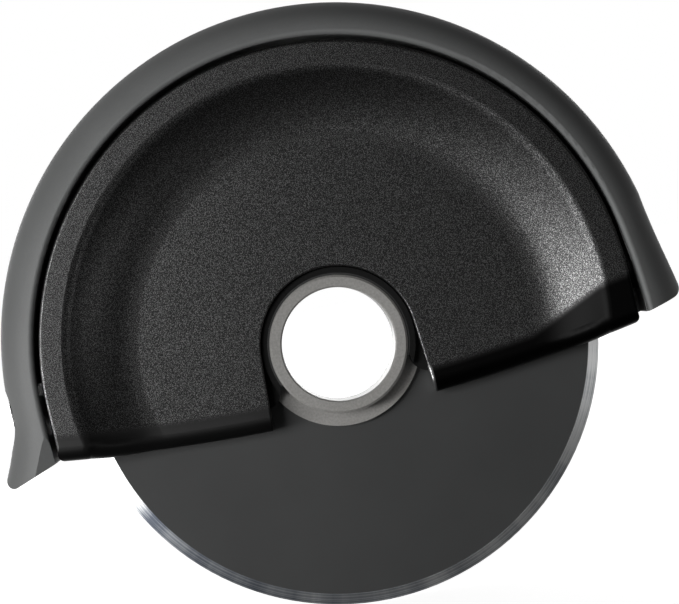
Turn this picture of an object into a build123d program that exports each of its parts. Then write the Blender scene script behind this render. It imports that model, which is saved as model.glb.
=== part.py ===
from build123d import *
import math
import os

# Palm pizza cutter. X runs to the right, Z up to the grip and Y through the wheel, with the front face at -Y.
# The origin is the wheel's axle centre, in the middle of the blade. All lengths are millimetres.

# Blade
blade_radius = 50.0
blade_thickness = 1.0
bevel_width = 2.0
bevel_edge_thickness = 0.2

# Hub
hub_bore_radius = 10.75
hub_bore_chamfer = 0.28
hub_wall = 2.35
hub_end_inset = 0.8
journal_chamfer = 0.4
flange_step = 2.6
flange_thickness = 2.0
spigot_wall = 1.2
spigot_clearance = 0.05
spigot_reach = 1.8
peg_count = 3
peg_radius = 0.9
peg_edge_margin = 1.5
peg_depth = 1.4

# Bearing of the hub
bush_clearance = 0.05
bush_wall = 0.35
bush_mouth_share = 0.4
thrust_gap = 0.1
thrust_ring_thickness = 0.4
thrust_ring_inset = 0.4
plate_thickness = 2.0
plate_bottom = -8.95
plate_corner_radius = 3.5
collar_wall = 1.05
collar_height = 2.2

# Shells
body_centre = 1.2
blade_margin = 6.0
shell_wall = 2.0
skirt_wall = 1.6
shell_bottom = -13.5
lower_edge_radius = 360.0
plate_boss_height = 1.8
dish_drop = 4.7
dish_rim_width = 5.3
dish_arc_radius = 20.9
dish_rim_round = 3.0
lip_round = 2.8
rim_edge_round = 0.6
shell_corner_round = 1.2
notch_gap = 0.25
notch_edge_round = 0.35
notch_draft = 4.0
pocket_clearance = 0.2

# Grip
core_gap = 0.9
core_wall = 3.0
core_edge_margin = 2.5
core_end_height = -7.2
web_thickness = 2.0
web_reach = 5.7
grip_radial_thickness = 7.1
grip_stand = 0.5
grip_edge_round = 0.8
right_bend_angle = 12.0
right_spreads = (0.5, 0.9, 0.9)
right_flares = (0.9, 1.9, 1.9)
right_heights = (1.2, -4.0, -22.0)
right_end_height = -7.0
right_end_slope = 13.0
right_end_lean = -13.0
right_corner_place = 3.2
right_corner_radius = 3.0
tail_flares = (0.5, 2.1, 5.3)
tail_heights = (-3.0, -7.5, -14.0)
tail_end_height = -10.5
tail_end_slope = 19.0
tail_end_lean = 44.5
tail_corner_place = 4.85
tail_corner_radius = 1.75
corner_trim_length = 1.0
tail_facet = ((0.3, -2.9, 0.0), (-4.4, -11.2, 1.2), (0.0, -9.3, 1.5))

# Screws
plate_screw_radius = 0.8
plate_screw_head_radius = 1.6
plate_screw_head_height = 1.1
plate_screw_point_cover = 0.8
plate_screw_hub_gap = 3.7
plate_screw_edge_margin = 5.0
plate_screw_angles = (18.0, 66.0, 114.0, 162.0)
plate_boss_radius = 2.3
web_screw_radius = 0.8
web_screw_head_radius = 1.6
web_screw_head_height = 0.8
web_screw_length = 7.0
web_screw_inset = 1.1
web_screw_angles = (24.0, 57.0, 90.0, 123.0, 156.0)
web_boss_radius = 1.9
web_boss_height = 7.5
screw_clearance = 0.05
drive_slot_width = 0.5
drive_slot_depth_share = 0.5

# Release button, on an axis along X through the left end of the grip
button_height = 1.0
button_radius = 4.0
button_inset = 0.15
button_dome = 0.35
button_cap_thickness = 2.4
button_cap_wall = 0.6
button_cap_roof = 0.9
button_travel = 2.0
button_end_gap = 0.1
button_side_clearance = 0.2
bezel_wall = 0.7
bezel_stand = 0.2
scoop_radius = 12.0
scoop_depth = 1.2
scoop_height = 1.8
bolt_radius = 1.5
bolt_neck_radius = 0.9
bolt_head_length = 1.2
bolt_head_gap = 0.2
guide_clearance = 0.05
guide_wall = 0.7
guide_flange_radius = 2.9
guide_flange_thickness = 0.5
guide_length = 1.5
clip_radius = 2.6
clip_thickness = 0.4
clip_end_gap = 0.1
clip_gap_width = 1.3
spring_wire_radius = 0.175
spring_turns = 4
spring_coil_radius = 2.35

# Catch that holds the front shell's left end
catch_plate_thickness = 0.8
catch_skirt_gap = 0.2
catch_half_height = 4.0
catch_rear_reach = 2.6
catch_hole_clearance = 0.15
catch_foot_reach = 3.7
catch_screw_radius = 0.6
catch_screw_head_radius = 1.1
catch_screw_head_height = 0.7
catch_screw_length = 2.4
catch_screw_spacing = 4.4
catch_boss_radius = 1.4
catch_boss_height = 2.5
latch_window = 5.0
skirt_window_radius = 3.2

# Tongue that hooks the front shell's right end into the grip
tongue_thickness = 1.6
tongue_width = 8.0
tongue_height = 1.0
tongue_depth = 4.2
tongue_engagement = 1.9
tongue_clearance = 0.25

overrun = 1.0

# Places worked out from the sizes above
parting = web_thickness / 2
flange_inner = blade_thickness / 2
flange_outer = flange_inner + flange_thickness
journal_radius = hub_bore_radius + hub_wall
flange_radius = journal_radius + flange_step
peg_circle_radius = flange_radius - peg_edge_margin
spigot_radius = hub_bore_radius + spigot_wall
blade_hole_radius = spigot_radius + spigot_clearance
thrust_face = flange_outer + thrust_gap
thrust_ring_radius = flange_radius - thrust_ring_inset
bush_radius = journal_radius + bush_clearance
bush_mouth_height = -bush_radius * bush_mouth_share
plate_inner = thrust_face + thrust_ring_thickness
plate_outer = plate_inner + plate_thickness
plate_bore_radius = bush_radius + bush_wall
plate_screw_circle_radius = flange_radius + plate_screw_head_radius + plate_screw_hub_gap
plate_radius = plate_screw_circle_radius + plate_screw_edge_margin
collar_face = plate_outer + collar_height
collar_radius = plate_bore_radius + collar_wall
notch_radius = collar_radius + notch_gap
notch_mouth_height = shell_bottom - overrun
floor_depth = plate_outer + plate_boss_height + shell_wall
rim_depth = floor_depth + dish_drop
hub_half_length = floor_depth - hub_end_inset
plate_screw_length = floor_depth - plate_inner - plate_screw_point_cover
shell_radius = blade_radius + blade_margin
skirt_inner_radius = shell_radius - skirt_wall
floor_radius = shell_radius - dish_rim_width - math.sqrt(2 * dish_arc_radius * dish_drop - dish_drop**2)
web_screw_circle_radius = skirt_inner_radius - web_screw_inset
core_inner_radius = shell_radius + core_gap
core_outer_radius = core_inner_radius + core_wall
web_inner_radius = core_inner_radius - web_reach
grip_radius = core_inner_radius + grip_radial_thickness
grip_half_width = rim_depth + grip_stand
core_half_width = grip_half_width - core_edge_margin
button_face = button_inset - grip_radius
scoop_floor = scoop_depth - grip_radius
bezel_radius = button_radius + button_side_clearance + bezel_wall
pocket_floor = button_face + button_cap_thickness + button_travel + button_end_gap
guide_radius = bolt_radius + guide_clearance + guide_wall
guide_seat = -core_inner_radius - guide_length
bolt_shoulder = clip_end_gap - core_inner_radius
catch_plate_outer = catch_skirt_gap - skirt_inner_radius
catch_axis_inner = catch_plate_outer + catch_plate_thickness
catch_foot_depth = rim_depth - shell_wall - catch_boss_height
bolt_head_start = catch_plate_outer - bolt_head_gap


def slab(outline, near, far):
    """A flat piece with the given XZ outline, between two depths along Y."""
    return Pos(0, far, 0) * extrude(Plane.XZ * outline, amount=far - near)


def round_slab(x, z, radius, near, far):
    """A round bar along Y."""
    return slab(Pos(x, z) * Circle(radius), near, far)


def round_bar(radius, left, right):
    """A round bar along X, on the release button's axis."""
    start = Plane(origin=(left, 0, button_height), x_dir=(0, 1, 0), z_dir=(1, 0, 0))
    return start * Cylinder(radius, right - left, align=(Align.CENTER, Align.CENTER, Align.MIN))


def turned(points):
    """A piece turned about the wheel's axis, from its corners given as radius and depth."""
    return revolve(make_face(Polyline(*points, close=True)), Axis.Y)


def half_turn(profile, start_angle=0):
    """Turns a profile, given as radius and depth, over the top from the right end to the left."""
    over_the_top = Axis((0, 0, 0), (0, -1, 0))
    start = Rot(0, -start_angle, 0) * profile
    return Pos(0, 0, body_centre) * revolve(start, over_the_top, 180 - start_angle)


def spots(circle_radius, angles):
    """Places on a circle, as X and Z measured from its centre."""
    return [
        (circle_radius * math.cos(math.radians(a)), circle_radius * math.sin(math.radians(a)))
        for a in angles
    ]


# Blade and hub


def peg_places():
    return spots(peg_circle_radius, [90 + i * 360 / peg_count for i in range(peg_count)])


def blade_disc():
    flat = blade_thickness / 2
    edge = bevel_edge_thickness / 2
    disc = turned(
        [
            (blade_hole_radius, -flat),
            (blade_radius - bevel_width, -flat),
            (blade_radius, -edge),
            (blade_radius, edge),
            (blade_radius - bevel_width, flat),
            (blade_hole_radius, flat),
        ]
    )
    for x, z in peg_places():
        disc -= round_slab(x, z, peg_radius + spigot_clearance, -flat - overrun, flat + overrun)
    return disc


def hub_front():
    hub = turned(
        [
            (hub_bore_radius, flange_inner + spigot_reach),
            (hub_bore_radius, -hub_half_length + hub_bore_chamfer),
            (hub_bore_radius + hub_bore_chamfer, -hub_half_length),
            (journal_radius - journal_chamfer, -hub_half_length),
            (journal_radius, -hub_half_length + journal_chamfer),
            (journal_radius, -flange_outer),
            (flange_radius, -flange_outer),
            (flange_radius, -flange_inner),
            (spigot_radius, -flange_inner),
            (spigot_radius, flange_inner + spigot_reach),
        ]
    )
    for x, z in peg_places():
        hub += round_slab(x, z, peg_radius, -flange_inner, flange_inner + peg_depth)
    return hub


def hub_rear():
    hub = turned(
        [
            (hub_bore_radius, flange_inner + spigot_reach),
            (hub_bore_radius, hub_half_length - hub_bore_chamfer),
            (hub_bore_radius + hub_bore_chamfer, hub_half_length),
            (journal_radius - journal_chamfer, hub_half_length),
            (journal_radius, hub_half_length - journal_chamfer),
            (journal_radius, flange_outer),
            (flange_radius, flange_outer),
            (flange_radius, flange_inner),
            (spigot_radius + spigot_clearance, flange_inner),
            (spigot_radius + spigot_clearance, flange_inner + spigot_reach),
        ]
    )
    for x, z in peg_places():
        hub -= round_slab(x, z, peg_radius + spigot_clearance, flange_inner, flange_inner + peg_depth)
    return hub


# Bearing plates and their bushes, the front ones at -Y and the rear ones as their mirror image


def mouth_block(height):
    """Everything above a height, to cut the open mouth below the hub."""
    reach = plate_radius + overrun
    return Pos(0, height + reach) * Rectangle(2 * reach, 2 * reach)


def plate_outline():
    outline = (Circle(plate_radius) & mouth_block(plate_bottom)) - Circle(plate_bore_radius)
    corners = [v for v in outline.vertices() if abs(v.X) < plate_bore_radius]
    return fillet(corners, plate_corner_radius)


def plate_screw_places():
    return spots(plate_screw_circle_radius, plate_screw_angles)


def bearing_plate():
    outline = plate_outline()
    plate = slab(outline, -plate_outer, -plate_inner)
    collar = Circle(collar_radius) & outline
    plate += slab(collar, -collar_face, -plate_outer)
    for x, z in plate_screw_places():
        hole = plate_screw_radius + screw_clearance
        plate -= round_slab(x, z, hole, -plate_outer - overrun, -plate_inner + overrun)
    return plate


def bearing_bush():
    mouth = mouth_block(bush_mouth_height)
    sleeve = (Circle(plate_bore_radius) - Circle(bush_radius)) & mouth
    ring = (Circle(thrust_ring_radius) - Circle(bush_radius)) & mouth
    return slab(sleeve, -collar_face, -plate_inner) + slab(ring, -plate_inner, -thrust_face)


def pan_screw(x, z, seat, radius, head_radius, head_height, length):
    """A screw driven from the blade's side towards -Y, with its head on the depth given as its seat."""
    head = round_slab(x, z, head_radius, seat, seat + head_height)
    slot = Pos(x, z) * Rectangle(2 * head_radius + overrun, drive_slot_width)
    slot_floor = seat + head_height * drive_slot_depth_share
    head -= slab(slot, slot_floor, seat + head_height + overrun)
    return head + round_slab(x, z, radius, seat - length, seat)


def plate_screws():
    return [
        pan_screw(
            x,
            z,
            -plate_inner,
            plate_screw_radius,
            plate_screw_head_radius,
            plate_screw_head_height,
            plate_screw_length,
        )
        for x, z in plate_screw_places()
    ]


# Shells


def notch_outline():
    """The arch over the hub, whose sides spread a little towards the bottom edge."""
    draft = math.radians(notch_draft)
    top_x = notch_radius * math.cos(draft)
    top_z = notch_radius * math.sin(draft)
    mouth_x = top_x + (top_z - notch_mouth_height) * math.tan(draft)
    sides = Polygon(
        (-top_x, top_z), (-mouth_x, notch_mouth_height), (mouth_x, notch_mouth_height), (top_x, top_z), align=None
    )
    return Circle(notch_radius) + sides


def shell_arch(inset_side, inset):
    """A half round with straight sides and a bowed lower edge, drawn in by a wall where one is given."""
    radius = shell_radius - inset_side
    sides = Pos(0, (body_centre + shell_bottom) / 2) * Rectangle(2 * radius, body_centre - shell_bottom)
    low = Pos(0, shell_bottom + lower_edge_radius) * Circle(lower_edge_radius - inset)
    return (Pos(0, body_centre) * Circle(radius) + sides) & low


def shell_outline(inset_side, inset):
    """The shell's outline seen along the axle, with the notch over the hub."""
    return shell_arch(inset_side, inset) - offset(notch_outline(), inset)


def corner_waste():
    """What the rounded lower right corner leaves off, between the straight side and the bowed edge."""
    low_centre = shell_bottom + lower_edge_radius
    x = shell_radius - shell_corner_round
    drop = math.sqrt((lower_edge_radius - shell_corner_round) ** 2 - x**2)
    foot_scale = (lower_edge_radius + overrun) / (lower_edge_radius - shell_corner_round)
    foot = (x * foot_scale, low_centre - drop * foot_scale)
    right = shell_radius + overrun
    waste = Polygon((x, low_centre - drop), foot, (right, foot[1]), (right, low_centre - drop), align=None)
    waste -= Pos(x, low_centre - drop) * Circle(shell_corner_round)
    return slab(waste, -rim_depth - overrun, 0)


def rim_edge_waste():
    """What the rounded front edge of the rim leaves off, over the top and down both sides."""
    corner = rim_edge_round + overrun
    middle = Pos(shell_radius - rim_edge_round + corner / 2, rim_edge_round - rim_depth - corner / 2)
    waste = middle * Rectangle(corner, corner)
    waste -= Pos(shell_radius - rim_edge_round, rim_edge_round - rim_depth) * Circle(rim_edge_round)
    side = Pos(0, 0, body_centre) * extrude(waste, amount=shell_bottom - body_centre)
    return half_turn(waste) + side + mirror(side, Plane.YZ)


def dish_form(rim, floor, arc):
    """The dished block whose face drops from a flat rim to a flat floor over one arc."""
    radius = shell_radius + dish_rim_width
    drop = rim - floor
    rim_inner = floor_radius + math.sqrt(2 * arc * drop - drop**2)
    half_turn = math.asin((rim_inner - floor_radius) / arc) / 2
    middle = (floor_radius + arc * math.sin(half_turn), -floor - arc * (1 - math.cos(half_turn)))
    edges = [
        Polyline((floor_radius, -floor), (0, -floor), (0, 0), (radius, 0), (radius, -rim), (rim_inner, -rim)),
        ThreePointArc((rim_inner, -rim), middle, (floor_radius, -floor)),
    ]
    face = make_face(edges)
    crease = [v for v in face.vertices() if abs(v.X - rim_inner) < bevel_edge_thickness]
    face = fillet(crease, dish_rim_round)
    return Pos(0, 0, body_centre) * revolve(face, Axis.Y)


def plain_shell():
    """The front shell without its fixings: a dished face, a skirt round it and a rolled lower lip."""
    region = slab(shell_outline(0, 0), -rim_depth - overrun, -parting)
    body = dish_form(rim_depth, floor_depth, dish_arc_radius) & region
    low_centre = shell_bottom + lower_edge_radius
    lip = [
        e
        for e in body.edges()
        if abs(math.hypot(e.center().X, e.center().Z - low_centre) - lower_edge_radius) < bevel_edge_thickness
        and e.center().Y < -floor_depth + overrun
    ]
    body = fillet(lip, lip_round) - rim_edge_waste() - corner_waste() - mirror(corner_waste(), Plane.YZ)
    cavity = dish_form(rim_depth - shell_wall, floor_depth - shell_wall, dish_arc_radius + shell_wall)
    cavity &= slab(shell_outline(skirt_wall, shell_wall), -rim_depth - overrun, 0)
    shell = body - cavity
    notch_edges = [
        e
        for e in shell.edges()
        if abs(e.center().Y + floor_depth) < bevel_edge_thickness
        and abs(e.center().X) < notch_radius + overrun
        and e.center().Z < notch_radius + overrun
    ]
    return fillet(notch_edges, notch_edge_round)


def plate_pocket():
    """Room behind the dish floor for the bearing plate, cut through the wall of the notch."""
    reach = plate_radius + pocket_clearance
    return slab(Circle(reach) & mouth_block(plate_bottom - pocket_clearance), -plate_outer, 0)


def plate_bosses():
    bosses = [
        round_slab(x, z, plate_boss_radius, -floor_depth + shell_wall, -plate_outer)
        for x, z in plate_screw_places()
    ]
    return bosses


def screw_hole(x, z, seat, radius, length):
    return round_slab(x, z, radius + screw_clearance, seat - length - screw_clearance, seat + overrun)


def shell_with_bearing_seat():
    shell = plain_shell() - plate_pocket()
    for boss in plate_bosses():
        shell += boss
    for x, z in plate_screw_places():
        shell -= screw_hole(x, z, -plate_inner, plate_screw_radius, plate_screw_length)
    left = -shell_radius - overrun
    return shell - round_bar(skirt_window_radius, left, catch_axis_inner)


# Catch plate and its screws, inside the front shell's left end


def catch_screw_places():
    x = catch_plate_outer + catch_foot_reach / 2 + catch_plate_thickness / 2
    half = catch_screw_spacing / 2
    return [(x, button_height - half), (x, button_height + half)]


def catch_outline(left, right):
    """The catch plate's outline seen along the axle, between two places along X."""
    width = right - left
    return Pos((left + right) / 2, button_height) * Rectangle(width, 2 * catch_half_height)


def catch_plate():
    foot_top = -catch_foot_depth + catch_plate_thickness
    wall = slab(catch_outline(catch_plate_outer, catch_axis_inner), -catch_foot_depth, catch_rear_reach)
    foot = slab(catch_outline(catch_plate_outer, catch_plate_outer + catch_foot_reach), -catch_foot_depth, foot_top)
    plate = wall + foot
    plate -= round_bar(bolt_radius + catch_hole_clearance, catch_plate_outer - overrun, catch_axis_inner + overrun)
    slot_half = bolt_neck_radius + catch_hole_clearance
    slot = Pos((catch_plate_outer + catch_axis_inner) / 2, button_height) * Rectangle(
        catch_plate_thickness + overrun, 2 * slot_half
    )
    plate -= slab(slot, 0, catch_rear_reach + overrun)
    for x, z in catch_screw_places():
        hole = catch_screw_radius + screw_clearance
        plate -= round_slab(x, z, hole, -catch_foot_depth - overrun, foot_top + overrun)
    return plate


def catch_screws():
    return [
        pan_screw(
            x,
            z,
            -catch_foot_depth + catch_plate_thickness,
            catch_screw_radius,
            catch_screw_head_radius,
            catch_screw_head_height,
            catch_screw_length,
        )
        for x, z in catch_screw_places()
    ]


def tongue(clearance, right):
    """The flat tongue on the front shell's right end, or the slot round it when given a clearance."""
    left = skirt_inner_radius
    height = tongue_width + 2 * clearance
    outline = Pos((left + right) / 2, tongue_height) * Rectangle(right - left, height)
    return slab(outline, -tongue_depth - tongue_thickness - clearance, -tongue_depth + clearance)


def front_shell():
    shell = shell_with_bearing_seat()
    for x, z in catch_screw_places():
        shell += round_slab(x, z, catch_boss_radius, -rim_depth + shell_wall, -catch_foot_depth)
    for x, z in catch_screw_places():
        seat = -catch_foot_depth + catch_plate_thickness
        shell -= screw_hole(x, z, seat, catch_screw_radius, catch_screw_length)
    return shell + tongue(0, core_inner_radius + tongue_engagement)


def web_screw_places():
    return [(x, z + body_centre) for x, z in spots(web_screw_circle_radius, web_screw_angles)]


def rear_shell():
    shell = mirror(shell_with_bearing_seat(), Plane.XZ)
    for x, z in web_screw_places():
        shell += round_slab(x, z, web_boss_radius, parting, parting + web_boss_height)
    for x, z in web_screw_places():
        end = -parting + web_screw_length + screw_clearance
        shell -= round_slab(x, z, web_screw_radius + screw_clearance, parting - overrun, end)
    return shell


def countersink(x, z, clearance):
    """The cone of a countersunk head whose top is flush with the web's front face."""
    profile = make_face(
        Polyline(
            (0, -parting),
            (web_screw_head_radius + clearance, -parting),
            (web_screw_radius + clearance, -parting + web_screw_head_height + clearance),
            (0, -parting + web_screw_head_height + clearance),
            close=True,
        )
    )
    return Pos(x, 0, z) * revolve(profile, Axis.Y)


def web_screws():
    screws = []
    for x, z in web_screw_places():
        screw = countersink(x, z, 0) + round_slab(x, z, web_screw_radius, -parting, -parting + web_screw_length)
        slot = Pos(x, z) * Rectangle(2 * web_screw_head_radius + overrun, drive_slot_width)
        slot_floor = -parting + web_screw_head_height * drive_slot_depth_share
        screws.append(screw - slab(slot, -parting - overrun, slot_floor))
    return screws


# Grip: a stiff horseshoe core with a web between the shells, and the soft cover over it


def horseshoe(inner, outer):
    """A half ring with two straight legs, the right one running on past the grip's end."""
    upper_half = Pos(0, body_centre + outer) * Rectangle(2 * outer + overrun, 2 * outer)
    outline = (Pos(0, body_centre) * (Circle(outer) - Circle(inner))) & upper_half
    for side, bottom in ((-1, core_end_height), (1, right_end_height - grip_radial_thickness)):
        middle = Pos(side * (inner + outer) / 2, (body_centre + bottom) / 2)
        outline += middle * Rectangle(outer - inner, body_centre - bottom)
    return outline


def below_end(side, height, slope):
    """Where the end of the grip is cut off, as the middle of the cut and the block below it."""
    width = 4 * grip_radial_thickness
    middle = Pos(side * (core_inner_radius + grip_radial_thickness / 2), height) * Rot(0, 0, slope)
    return middle, Pos(0, -width / 2) * Rectangle(width, width)


def right_spread_outline():
    """What the right leg's inner side gives up, where the grip's end spreads away from the shell."""
    bend = math.radians(right_bend_angle)
    top = body_centre + core_inner_radius * math.sin(bend)
    left = core_inner_radius * math.cos(bend) - overrun
    side = [(core_inner_radius + spread, height) for height, spread in zip(right_heights, right_spreads)]
    return Polygon((left, top), (left + overrun, top), *side, (left, side[-1][1]), align=None)


def grip_core():
    middle, below = below_end(1, right_end_height, right_end_slope)
    rim = horseshoe(core_inner_radius, core_outer_radius) - middle * below - right_spread_outline()
    web = horseshoe(web_inner_radius, core_outer_radius) - middle * below
    core = slab(rim, -core_half_width, core_half_width) + slab(web, -parting, parting)
    for x, z in web_screw_places():
        core -= countersink(x, z, screw_clearance)
        core -= round_slab(x, z, web_screw_radius + screw_clearance, -parting - overrun, parting + overrun)
    window_end = web_inner_radius - overrun
    window = Pos(-(window_end + core_inner_radius) / 2, button_height) * Rectangle(
        core_inner_radius - window_end, 2 * latch_window
    )
    core -= slab(window, -parting - overrun, parting + overrun)
    core -= round_bar(bezel_radius, -grip_radius, pocket_floor)
    core -= round_bar(guide_flange_radius + guide_clearance, -grip_radius, guide_seat)
    core -= round_bar(guide_radius, -grip_radius, -core_inner_radius + overrun)
    return core - tongue(tongue_clearance, core_inner_radius + tongue_engagement + tongue_clearance)


def grip_section(depth):
    """Half an oval that stands out by the given amount, with its two edges rounded."""
    oval = Ellipse(depth, grip_half_width) & Pos(depth, 0) * Rectangle(2 * depth, 2 * grip_half_width)
    return fillet(oval.vertices(), grip_edge_round)


def grip_sections(side, stations):
    """Level ovals down one end of the grip, from their heights, spreads and flares."""
    sections = []
    for height, spread, flare in stations:
        start = (side * (core_inner_radius + spread), 0, height)
        place = Plane(origin=start, x_dir=(side, 0, 0), z_dir=(0, 0, side))
        sections.append(place * grip_section(grip_radial_thickness - spread + flare))
    return sections


def end_cut(side, height, slope, lean, corner_place, corner_radius):
    """What is taken off one end of the grip: the block below it, and the waste of its rounded corner."""
    middle, below = below_end(side, height, slope)
    out = 2 * side * grip_radial_thickness
    across = math.cos(math.radians(lean))
    along = math.sin(math.radians(lean))
    centre_x = side * corner_place
    touch = (centre_x + side * corner_radius * across, corner_radius * (1 + along))
    trim_end = (touch[0] - side * corner_trim_length * along, touch[1] + corner_trim_length * across)
    corners = [(centre_x, 0), (out, 0), (out, trim_end[1]), trim_end, touch, (centre_x, corner_radius)]
    waste = Polygon(*corners[::side], align=None)
    waste -= Pos(centre_x, corner_radius) * Circle(corner_radius)
    return slab(middle * (below + waste), -2 * grip_half_width, 2 * grip_half_width)


def tail_facet_waste():
    """What the flat on the front of the tail takes off, beside the shell's corner."""
    start, low, inner = [
        Vector(x - core_inner_radius, depth - grip_half_width, height) for x, height, depth in tail_facet
    ]
    face = Plane(origin=start, x_dir=low - start, z_dir=(low - start).cross(inner - start))
    block = 2 * grip_half_width
    return face * Box(block, block, grip_radial_thickness, align=(Align.CENTER, Align.CENTER, Align.MIN))


def grip_solid():
    arch = half_turn(Pos(core_inner_radius, 0) * grip_section(grip_radial_thickness), right_bend_angle)
    bend = Pos(0, 0, body_centre) * Rot(0, -right_bend_angle, 0) * Pos(core_inner_radius, 0)
    right = loft(
        [bend * grip_section(grip_radial_thickness)]
        + grip_sections(1, zip(right_heights, right_spreads, right_flares))
    )
    right -= end_cut(1, right_end_height, right_end_slope, right_end_lean, right_corner_place, right_corner_radius)
    left = loft(grip_sections(-1, [(body_centre, 0, 0)] + [(h, 0, f) for h, f in zip(tail_heights, tail_flares)]))
    left -= end_cut(-1, tail_end_height, tail_end_slope, tail_end_lean, tail_corner_place, tail_corner_radius)
    left -= tail_facet_waste() + mirror(tail_facet_waste(), Plane.XZ)
    return arch + right + left


def grip_cover():
    cover = grip_solid()
    room = horseshoe(core_inner_radius - overrun, core_outer_radius)
    cover -= slab(room, -core_half_width, core_half_width)
    cover -= round_slab(scoop_floor - scoop_radius, scoop_height, scoop_radius, -grip_half_width, grip_half_width)
    return cover - round_bar(bezel_radius, -grip_radius - overrun, pocket_floor)


# Release button, its guide and the sprung bolt behind it


def button_bezel():
    sleeve = round_bar(bezel_radius, scoop_floor - bezel_stand, pocket_floor)
    return sleeve - round_bar(bezel_radius - bezel_wall, scoop_floor - overrun, pocket_floor + overrun)


def release_button():
    rim = button_face + button_dome
    cap = round_bar(button_radius, rim, button_face + button_cap_thickness)
    dome_radius = (button_radius**2 + button_dome**2) / (2 * button_dome)
    ball = Pos(button_face + dome_radius, 0, button_height) * Sphere(dome_radius)
    cap += ball & round_bar(button_radius, button_face - overrun, rim)
    hollow = round_bar(button_radius - button_cap_wall, button_face + button_cap_roof, 0)
    return cap - hollow


def latch_bolt():
    bolt = round_bar(bolt_radius, button_face + button_cap_roof, bolt_shoulder)
    bolt += round_bar(bolt_neck_radius, bolt_shoulder, bolt_head_start)
    return bolt + round_bar(bolt_radius, bolt_head_start, bolt_head_start + bolt_head_length)


def bolt_clip():
    clip = round_bar(clip_radius, bolt_shoulder, bolt_shoulder + clip_thickness)
    clip -= round_bar(bolt_neck_radius, bolt_shoulder - overrun, bolt_shoulder + clip_thickness + overrun)
    gap = Pos(bolt_shoulder, button_height - clip_radius) * Rectangle(clip_radius, 2 * clip_radius)
    return clip - slab(gap, -clip_gap_width / 2, clip_gap_width / 2)


def guide_bush():
    flange_end = guide_seat - guide_flange_thickness
    bush = round_bar(guide_flange_radius, flange_end, guide_seat)
    bush += round_bar(guide_radius, guide_seat, -core_inner_radius)
    return bush - round_bar(bolt_radius + guide_clearance, flange_end - overrun, -core_inner_radius + overrun)


def button_spring():
    """An open coil from the guide's flange to the cap's roof, with its least gap printed."""
    left = button_face + button_cap_roof + spring_wire_radius
    right = guide_seat - guide_flange_thickness - spring_wire_radius
    pitch = (right - left) / spring_turns
    print("spring gap", round(pitch - 2 * spring_wire_radius, 3))
    path = Helix(pitch, right - left, spring_coil_radius, center=(left, 0, button_height), direction=(1, 0, 0))
    start = Plane(origin=path @ 0, z_dir=path % 0)
    return sweep(start * Circle(spring_wire_radius), path)


pieces = {
    "blade_disc": blade_disc(),
    "hub_front": hub_front(),
    "hub_rear": hub_rear(),
    "front_bearing_plate": bearing_plate(),
    "rear_bearing_plate": mirror(bearing_plate(), Plane.XZ),
    "front_bearing_bush": bearing_bush(),
    "rear_bearing_bush": mirror(bearing_bush(), Plane.XZ),
    "front_plate_screws": Compound(children=plate_screws()),
    "rear_plate_screws": Compound(children=[mirror(s, Plane.XZ) for s in plate_screws()]),
    "front_shell": front_shell(),
    "rear_shell": rear_shell(),
    "rear_shell_screws": Compound(children=web_screws()),
    "catch_plate": catch_plate(),
    "catch_screws": Compound(children=catch_screws()),
    "grip_core": grip_core(),
    "grip_cover": grip_cover(),
    "button_bezel": button_bezel(),
    "release_button": release_button(),
    "latch_bolt": latch_bolt(),
    "bolt_clip": bolt_clip(),
    "guide_bush": guide_bush(),
    "button_spring": button_spring(),
}

os.makedirs("parts", exist_ok=True)
for name, piece in pieces.items():
    export_step(piece, "parts/" + name + ".step")
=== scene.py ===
import math

import bmesh
import bpy
from mathutils import Matrix, Vector


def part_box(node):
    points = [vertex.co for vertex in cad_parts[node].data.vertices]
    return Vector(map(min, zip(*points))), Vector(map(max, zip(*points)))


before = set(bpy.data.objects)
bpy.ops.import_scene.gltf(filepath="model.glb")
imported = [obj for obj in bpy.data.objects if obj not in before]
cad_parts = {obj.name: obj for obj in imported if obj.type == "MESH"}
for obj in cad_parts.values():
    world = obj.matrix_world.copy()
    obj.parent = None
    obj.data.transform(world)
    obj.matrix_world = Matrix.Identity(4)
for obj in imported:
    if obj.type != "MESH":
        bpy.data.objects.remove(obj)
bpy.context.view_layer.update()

MM = 0.001


# Blade
# A stamped and ground steel disc. A dark non-stick coating covers its two faces, and the grinding that
# sharpens it leaves a narrow bare bevel all round. It is clamped between the two halves of the hub.

blade_low, blade_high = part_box("blade_disc")
blade_radius = blade_high.z
bevel_width = 2.0 * MM
bevel_start = blade_radius - bevel_width
coat_fade_start = bevel_start - 0.08 * MM
coat_fade_end = bevel_start + 0.04 * MM
coat_dark = (0.024, 0.025, 0.025, 1)
coat_light = (0.031, 0.032, 0.032, 1)
coat_roughness = 0.48
coat_cloud_scale = 45
steel_tones = [(0.38, (0.16, 0.18, 0.22, 1)), (0.52, (0.50, 0.52, 0.55, 1)), (0.66, (0.97, 0.98, 0.98, 1))]
steel_roughness = 0.30
facet_scale = 9
facet_share = 0.4
ring_scale = 3600
ring_share = 0.6
# Painted light and shade on the bare bevel: lighter towards the right and lower right, darker towards the
# upper left, and a painted highlight at the far left.
painted_light_side = (0.95, 0, -0.30)
painted_light_share = 0.15
left_highlight_start = -0.87
left_highlight_full = -0.92
left_highlight_share = 0.32
blade_grain_scale = 2600
blade_grain_strength = 0.10
grain_depth = 0.05 * MM
noise_low = 0.3
noise_high = 0.7


def new_material(name):
    """A material with only its output and its main shader."""
    material = bpy.data.materials.new(name)
    material.use_nodes = True
    tree = material.node_tree
    tree.nodes.clear()
    out = tree.nodes.new("ShaderNodeOutputMaterial")
    shader = tree.nodes.new("ShaderNodeBsdfPrincipled")
    tree.links.new(shader.outputs["BSDF"], out.inputs["Surface"])
    return material, tree, shader


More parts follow.
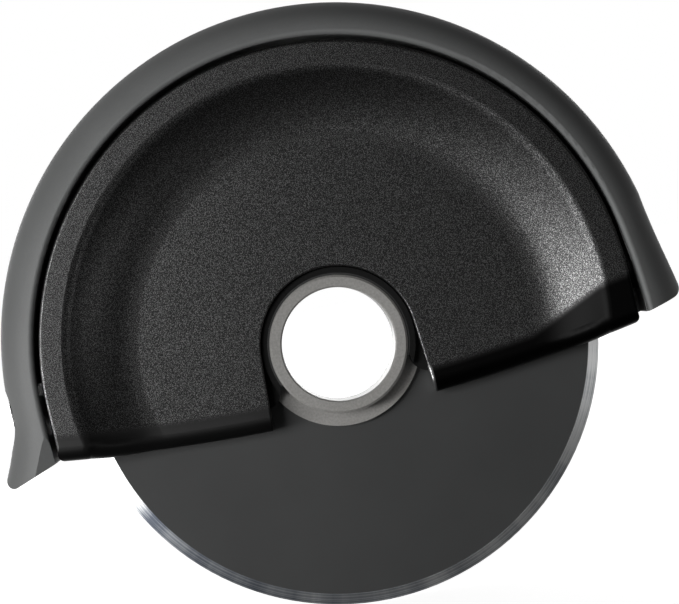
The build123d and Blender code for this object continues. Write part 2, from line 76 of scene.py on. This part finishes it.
def add_node(tree, kind, inputs=None, **settings):
    """One node with its settings, whose inputs are values or other nodes' sockets."""
    node = tree.nodes.new("ShaderNode" + kind)
    for key, value in settings.items():
        setattr(node, key, value)
    for key, value in (inputs or {}).items():
        if isinstance(value, bpy.types.NodeSocket):
            tree.links.new(value, node.inputs[key])
        else:
            node.inputs[key].default_value = value
    return node


def grey(value):
    """The same red, green and blue."""
    return (value, value, value, 1)


def ramp(tree, fac, stops):
    """A colour ramp from a list of places and colours."""
    node = add_node(tree, "ValToRGB", {"Fac": fac})
    elements = node.color_ramp.elements
    while len(elements) < len(stops):
        elements.new(stops[len(elements) - 1][0])
    for element, (place, colour) in zip(elements, stops):
        element.position = place
        element.color = colour
    return node.outputs["Color"]


def cloud(tree, pattern, dark, light):
    """Runs from dark to light over the middle of a noise, where nearly all its values lie."""
    return ramp(tree, pattern, [(noise_low, dark), (noise_high, light)])


def blend(tree, amount, first, second):
    """The first colour where the amount is 0 and the second where it is 1."""
    return add_node(tree, "Mix", {0: amount, 6: first, 7: second}, data_type="RGBA").outputs[2]


def step(tree, value, start, end):
    """0 below the start and 1 above the end."""
    return add_node(tree, "MapRange", {"Value": value, "From Min": start, "From Max": end}).outputs["Result"]


def calculate(tree, operation, *values):
    """One step of arithmetic, on numbers or sockets."""
    return add_node(tree, "Math", dict(enumerate(values)), operation=operation).outputs["Value"]


def object_place(tree):
    """The place on the piece, in metres from the hub."""
    return add_node(tree, "TexCoord").outputs["Object"]


def noise(tree, place, scale, detail):
    """A noise of this scale, with as many finer waves on top as the detail says."""
    return add_node(tree, "TexNoise", {"Vector": place, "Scale": scale, "Detail": detail}).outputs["Fac"]


def bump(tree, shader, height, strength, distance):
    """Relief on the surface, this deep at full height."""
    node = add_node(tree, "Bump", {"Height": height, "Strength": strength, "Distance": distance})
    tree.links.new(node.outputs["Normal"], shader.inputs["Normal"])


def from_axis(tree, centre_height):
    """Place seen along the axle, measured from a point above the axle, and its distance from there."""
    place = add_node(tree, "SeparateXYZ", {"Vector": object_place(tree)})
    height = calculate(tree, "SUBTRACT", place.outputs["Z"], centre_height)
    flat = add_node(tree, "CombineXYZ", {"X": place.outputs["X"], "Z": height}).outputs["Vector"]
    return flat, add_node(tree, "VectorMath", {0: flat}, operation="LENGTH").outputs["Value"]


def dress(node_name, material):
    """Gives a CAD node its material in place of the plain one it was packed with."""
    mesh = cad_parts[node_name].data
    mesh.materials.clear()
    mesh.materials.append(material)


def blade_material():
    """Dark coating on the faces, and a bare bevel with marks from the grinding wheel and painted light and
    shade: lighter on the right and lower right, darker towards the upper left, with a painted highlight at
    the far left.
    """
    material, tree, shader = new_material("blade_coating_and_ground_edge")
    flat, radius = from_axis(tree, 0)
    place = object_place(tree)
    coat = cloud(tree, noise(tree, place, coat_cloud_scale, detail=4), coat_dark, coat_light)
    direction = add_node(tree, "VectorMath", {0: flat}, operation="NORMALIZE").outputs["Vector"]
    facets = noise(tree, direction, facet_scale, detail=4)
    # Painted light and shade: the bevel's steel tone rises on the right and at the far left and falls towards
    # the upper left, on top of the real grinding rings and facets.
    side = add_node(tree, "VectorMath", {0: direction, 1: painted_light_side}, operation="DOT_PRODUCT")
    painted_light = calculate(tree, "MULTIPLY", side.outputs["Value"], painted_light_share)
    across = add_node(tree, "SeparateXYZ", {"Vector": direction}).outputs["X"]
    left_highlight = step(tree, across, left_highlight_start, left_highlight_full)
    painted_light = calculate(tree, "MULTIPLY_ADD", left_highlight, left_highlight_share, painted_light)
    rings = noise(tree, add_node(tree, "CombineXYZ", {"X": radius}).outputs["Vector"], ring_scale, detail=3)
    marks_and_painted_light = calculate(tree, "MULTIPLY_ADD", rings, ring_share, painted_light)
    marks_and_painted_light = calculate(tree, "MULTIPLY_ADD", facets, facet_share, marks_and_painted_light)
    bare = ramp(tree, marks_and_painted_light, steel_tones)
    edge = step(tree, radius, coat_fade_start, coat_fade_end)
    tree.links.new(blend(tree, edge, coat, bare), shader.inputs["Base Color"])
    tree.links.new(edge, shader.inputs["Metallic"])
    roughness = ramp(tree, edge, [(0.0, grey(coat_roughness)), (1.0, grey(steel_roughness))])
    tree.links.new(roughness, shader.inputs["Roughness"])
    grain = noise(tree, place, blade_grain_scale, detail=3)
    bump(tree, shader, grain, blade_grain_strength, grain_depth)
    return material


dress("blade_disc", blade_material())


# Hub
# Two halves moulded in warm grey acetal, with an open bore for a finger or a hook. They are welded
# together through the blade, so they turn with it.

moulded_cloud_scale = 60
moulded_roughness_spread = 0.04


def moulded_material(name, dark, light, speckle, roughness, grain_scale, grain_strength, shine=0.5):
    """A moulded plastic: slight clouding, a fine speckle in its colour and a fine grain."""
    material, tree, shader = new_material(name)
    place = object_place(tree)
    colour = cloud(tree, noise(tree, place, moulded_cloud_scale, detail=3), dark, light)
    spots = cloud(tree, noise(tree, place, grain_scale, detail=2), grey(1 - speckle), grey(1 + speckle))
    tint = add_node(tree, "Mix", {0: 1.0, 6: colour, 7: spots}, data_type="RGBA", blend_type="MULTIPLY")
    tree.links.new(tint.outputs[2], shader.inputs["Base Color"])
    grain = noise(tree, place, grain_scale, detail=5)
    smoother = grey(roughness - moulded_roughness_spread)
    rougher = grey(roughness + moulded_roughness_spread)
    tree.links.new(cloud(tree, grain, smoother, rougher), shader.inputs["Roughness"])
    bump(tree, shader, grain, grain_strength, grain_depth)
    shader.inputs["Specular IOR Level"].default_value = shine
    return material


hub_material = moulded_material(
    "hub_acetal",
    dark=(0.268, 0.262, 0.250, 1),
    light=(0.300, 0.293, 0.281, 1),
    speckle=0.12,
    roughness=0.42,
    grain_scale=2400,
    grain_strength=0.25,
)
dress("hub_front", hub_material)
dress("hub_rear", hub_material)


# Bearing plates, bushes and guide
# Black moulded plates behind the dish floors carry the split bushes that the hub turns in. The guide
# behind the button is the same low friction plastic as the bushes.

plate_material = moulded_material(
    "bearing_plate_black",
    dark=grey(0.004),
    light=grey(0.006),
    speckle=0.3,
    roughness=0.50,
    grain_scale=2200,
    grain_strength=0.4,
    shine=0.12,
)
bush_material = moulded_material(
    "bush_plastic",
    dark=grey(0.020),
    light=grey(0.028),
    speckle=0.1,
    roughness=0.38,
    grain_scale=1500,
    grain_strength=0.1,
)
for name in ("front_bearing_plate", "rear_bearing_plate"):
    dress(name, plate_material)
for name in ("front_bearing_bush", "rear_bearing_bush", "guide_bush"):
    dress(name, bush_material)


# Shells
# Moulded in black plastic with fine metal flake, with the fine grain of a spark eroded mould on the
# dished face. The rolled lower lip is left smooth, so that dough and cheese wipe off it.

shell_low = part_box("front_shell")[0]
lower_edge_radius = 360.0 * MM
lip_width = 3.4 * MM
lip_fade = 1.6 * MM
lip_start = lower_edge_radius - lip_width
right_end_start = 36.0 * MM
right_end_full = 50.0 * MM
right_end_extra = 4.5 * MM
# Painted highlight: a pale grey strip on the smooth lip beside the notch's right edge, where the lip is also
# smoother.
notch_strip_inner = 13.4 * MM
notch_strip_outer = 16.2 * MM
notch_strip_fade = 0.4 * MM
# Painted light and shade on the smooth lip: it runs from lighter at the left to nearly black at the right
# between these two places.
lip_painted_shade_start = -20.0 * MM
lip_painted_shade_full = 10.0 * MM
plastic_black = grey(0.003)
flake_grey = grey(0.175)
# Painted light and painted shade colours of the smooth lip, left and right.
lip_left_painted_light = grey(0.036)
lip_right_painted_shade = grey(0.005)
# Colour of the painted highlight strip beside the notch.
notch_painted_highlight_grey = grey(0.80)
flake_scale = 6900
flake_start = 0.54
flake_full = 0.62
flake_trace = 0.08
grained_roughness = 0.34
lip_roughness = 0.40
notch_strip_polish = 0.26
shell_shine = 0.35
shell_grain_scale = 2400
shell_grain_strength = 0.5


def shell_material():
    """Black with a dense glitter of flakes in the grain, and a smooth band along the lower lip. The band
    widens at the right end and carries painted light and shade, lighter at the left and nearly black towards
    the right. A narrow strip of it beside the notch's right edge is smoother and painted pale grey as a
    painted highlight."""
    material, tree, shader = new_material("shell_grained_black")
    place = object_place(tree)
    side = add_node(tree, "SeparateXYZ", {"Vector": place}).outputs["X"]
    drop = from_axis(tree, lower_edge_radius + shell_low.z)[1]
    right_end = step(tree, side, right_end_start, right_end_full)
    drop = calculate(tree, "MULTIPLY_ADD", right_end, right_end_extra, drop)
    grained = step(tree, drop, lip_start, lip_start - lip_fade)

    specks = step(tree, noise(tree, place, flake_scale, detail=0), flake_start, flake_full)
    flake = calculate(tree, "MULTIPLY", specks, grained)
    grained_colour = blend(tree, flake, plastic_black, flake_grey)
    # Mask of the painted highlight strip beside the notch's right edge.
    strip_in = step(tree, side, notch_strip_inner, notch_strip_inner + notch_strip_fade)
    strip_out = step(tree, side, notch_strip_outer, notch_strip_outer - notch_strip_fade)
    notch_highlight_strip = calculate(tree, "MULTIPLY", strip_in, strip_out)
    # Painted light and shade along the smooth lip, lighter at the left and darker towards the right.
    lip_painted_light_and_shade = blend(tree, step(tree, side, lip_painted_shade_start, lip_painted_shade_full), lip_left_painted_light, lip_right_painted_shade)
    smooth_colour_with_painted_light = blend(tree, notch_highlight_strip, lip_painted_light_and_shade, notch_painted_highlight_grey)
    tree.links.new(blend(tree, grained, smooth_colour_with_painted_light, grained_colour), shader.inputs["Base Color"])

    smooth = calculate(tree, "MULTIPLY_ADD", notch_highlight_strip, -notch_strip_polish, lip_roughness)
    rougher = calculate(tree, "SUBTRACT", grained_roughness, smooth)
    roughness = calculate(tree, "MULTIPLY_ADD", grained, rougher, smooth)
    tree.links.new(roughness, shader.inputs["Roughness"])
    plain = calculate(tree, "MULTIPLY", grained, step(tree, flake, flake_trace, 0.0))
    tree.links.new(calculate(tree, "SUBTRACT", 1.0, plain), shader.inputs["Metallic"])
    shader.inputs["Specular IOR Level"].default_value = shell_shine
    grain = calculate(tree, "MULTIPLY", noise(tree, place, shell_grain_scale, detail=2), grained)
    bump(tree, shader, grain, shell_grain_strength, grain_depth)
    return material


shell_black = shell_material()
dress("front_shell", shell_black)
dress("rear_shell", shell_black)


# Grip
# A stiff grey nylon horseshoe carries everything. Its web reaches in between the shells, and a soft
# grey elastomer is moulded over its outside.

core_material = moulded_material(
    "core_nylon",
    dark=(0.200, 0.202, 0.198, 1),
    light=(0.230, 0.232, 0.228, 1),
    speckle=0.05,
    roughness=0.45,
    grain_scale=1500,
    grain_strength=0.15,
)
grip_material = moulded_material(
    "grip_elastomer",
    dark=(0.122, 0.125, 0.124, 1),
    light=(0.135, 0.138, 0.137, 1),
    speckle=0.04,
    roughness=0.56,
    grain_scale=2600,
    grain_strength=0.15,
)
dress("grip_core", core_material)
dress("grip_cover", grip_material)


# Button, bolt, spring, catch and screws
# The button and its ring are turned, polished and plated. The bolt, its clip, the screws, the catch
# plate and the spring are steel. The bolt's head holds the catch plate until the button is pushed in.

metal_roughness_spread = 0.2
metal_relief_strength = 0.05
metal_relief_depth = 0.02 * MM


def metal_material(name, dark, light, roughness, scale):
    """A metal whose colour and polish wander a little."""
    material, tree, shader = new_material(name)
    shader.inputs["Metallic"].default_value = 1.0
    pattern = noise(tree, object_place(tree), scale, detail=5)
    tree.links.new(cloud(tree, pattern, dark, light), shader.inputs["Base Color"])
    smoother = grey(roughness * (1 - metal_roughness_spread))
    rougher = grey(roughness * (1 + metal_roughness_spread))
    tree.links.new(cloud(tree, pattern, smoother, rougher), shader.inputs["Roughness"])
    bump(tree, shader, pattern, metal_relief_strength, metal_relief_depth)
    return material


chrome = metal_material("button_chrome", dark=grey(0.72), light=grey(0.80), roughness=0.14, scale=300)
screw_steel = metal_material("screw_steel", dark=grey(0.50), light=grey(0.62), roughness=0.30, scale=900)
spring_steel = metal_material("spring_steel", dark=grey(0.42), light=grey(0.52), roughness=0.34, scale=900)
for name in ("release_button", "button_bezel"):
    dress(name, chrome)
for name in ("latch_bolt", "catch_screws", "front_plate_screws", "rear_plate_screws", "rear_shell_screws"):
    dress(name, screw_steel)
for name in ("catch_plate", "bolt_clip", "button_spring"):
    dress(name, spring_steel)


# Floor
# A plain white sheet that the wheel stands on. It glows only for the camera and for reflections, so it
# stays white and still takes the cutter's shadow. Reflections see it glow behind the cutter and where
# two round white cards lie in front of it.

floor_half_width = 6.0
floor_gap = 0.05 * MM
floor_height = blade_low.z - floor_gap
floor_base_grey = grey(0.30)
floor_roughness = 0.9
glow_near = 0.91
glow_far = 1.0
near_reach = 0.1
far_reach = 0.7
mirror_start = 0.01
mirror_full = 0.06
right_card = (0.147, -0.195, blade_low.z)
left_card = (-0.16, -0.12, blade_low.z)
card_radius = 0.07
card_outer_radius = 0.10

floor_mesh = bpy.data.meshes.new("floor")
bm = bmesh.new()
bmesh.ops.create_grid(bm, x_segments=1, y_segments=1, size=floor_half_width)
bmesh.ops.translate(bm, verts=bm.verts, vec=(0, 0, floor_height))
bm.to_mesh(floor_mesh)
bm.free()
floor = bpy.data.objects.new("floor", floor_mesh)
bpy.context.scene.collection.objects.link(floor)


def seen_directly(tree, mirrored):
    """1 for what the camera sees straight or through glass, and for reflections where mirrored is 1, and
    0 for light on the object."""
    path = add_node(tree, "LightPath")
    reflected = calculate(tree, "MULTIPLY", path.outputs["Is Glossy Ray"], mirrored)
    seen = calculate(tree, "MAXIMUM", path.outputs["Is Camera Ray"], path.outputs["Is Transmission Ray"])
    return calculate(tree, "MAXIMUM", seen, reflected)


floor_material, tree, shader = new_material("floor_white")
shader.inputs["Base Color"].default_value = floor_base_grey
shader.inputs["Roughness"].default_value = floor_roughness
shader.inputs["Emission Color"].default_value = grey(1.0)
place = object_place(tree)
away = add_node(tree, "VectorMath", {0: place}, operation="LENGTH").outputs["Value"]
reach = {"From Min": near_reach, "From Max": far_reach, "To Min": glow_near, "To Max": glow_far}
glow = add_node(tree, "MapRange", {"Value": away, **reach}).outputs["Result"]
depth = add_node(tree, "SeparateXYZ", {"Vector": place}).outputs["Y"]
mirrored = step(tree, depth, mirror_start, mirror_full)
for card in (right_card, left_card):
    from_card = add_node(tree, "VectorMath", {0: place, 1: card}, operation="DISTANCE").outputs["Value"]
    mirrored = calculate(tree, "MAXIMUM", mirrored, step(tree, from_card, card_outer_radius, card_radius))
glow = calculate(tree, "MULTIPLY", seen_directly(tree, mirrored), glow)
tree.links.new(glow, shader.inputs["Emission Strength"])
floor_mesh.materials.append(floor_material)


# Studio
# A dim room with a white backdrop. A long low soft box at the left rakes across the dish, a broader one
# stands at the front left, and a weaker one stands behind the cutter.

room_level = 0.07
backdrop_start = 0.70
backdrop_full = 0.95

world = bpy.data.worlds.new("studio")
bpy.context.scene.world = world
world.use_nodes = True
tree = world.node_tree
tree.nodes.clear()
out = tree.nodes.new("ShaderNodeOutputWorld")
direction = add_node(tree, "SeparateXYZ", {"Vector": add_node(tree, "TexCoord").outputs["Generated"]})
behind = step(tree, direction.outputs["Y"], backdrop_start, backdrop_full)
level = calculate(tree, "MULTIPLY_ADD", seen_directly(tree, behind), 1.0 - room_level, room_level)
backdrop = add_node(tree, "Background", {"Color": grey(1.0), "Strength": level})
tree.links.new(backdrop.outputs["Background"], out.inputs["Surface"])


def lamp(name, power, width, height, place):
    """A soft lamp that faces the hub."""
    light = bpy.data.lights.new(name, "AREA")
    light.energy = power
    light.shape = "RECTANGLE"
    light.size = width
    light.size_y = height
    item = bpy.data.objects.new(name, light)
    bpy.context.scene.collection.objects.link(item)
    item.location = place
    item.rotation_mode = "QUATERNION"
    item.rotation_quaternion = (-Vector(place)).to_track_quat("-Z", "Y")


lamp("left_soft_box", power=5.2, width=0.8, height=0.13, place=(-0.90, -0.46, 0.018))
lamp("front_soft_box", power=5.0, width=0.5, height=0.30, place=(-0.50, -0.87, 0.11))
lamp("rear_soft_box", power=3.0, width=0.8, height=0.30, place=(0.0, 1.0, 0.12))


# Camera
# It stands in front, level with the hub, and is turned about its own view so that the cutter leans as
# it does in the photograph.

photo_width = 679
focal_pixels = 3135.5
sensor_width = 36.0
camera_near = 10 * MM
camera_distance = 0.600
camera_side = -0.0094
camera_height = 0.0129
camera_yaw = -1.104
camera_pitch = -0.505
camera_roll = -13.6
camera_level = 90

camera_data = bpy.data.cameras.new("camera")
camera_data.sensor_width = sensor_width
camera_data.lens = focal_pixels / photo_width * sensor_width
camera_data.clip_start = camera_near
camera = bpy.data.objects.new("camera", camera_data)
bpy.context.scene.collection.objects.link(camera)
yaw = Matrix.Rotation(math.radians(camera_yaw), 4, "Z")
pitch = Matrix.Rotation(math.radians(camera_level + camera_pitch), 4, "X")
roll = Matrix.Rotation(math.radians(camera_roll), 4, "Z")
stand = Matrix.Translation((camera_side, -camera_distance, camera_height))
camera.matrix_world = stand @ yaw @ pitch @ roll
bpy.context.scene.camera = camera
bpy.context.scene.view_settings.view_transform = "Standard"
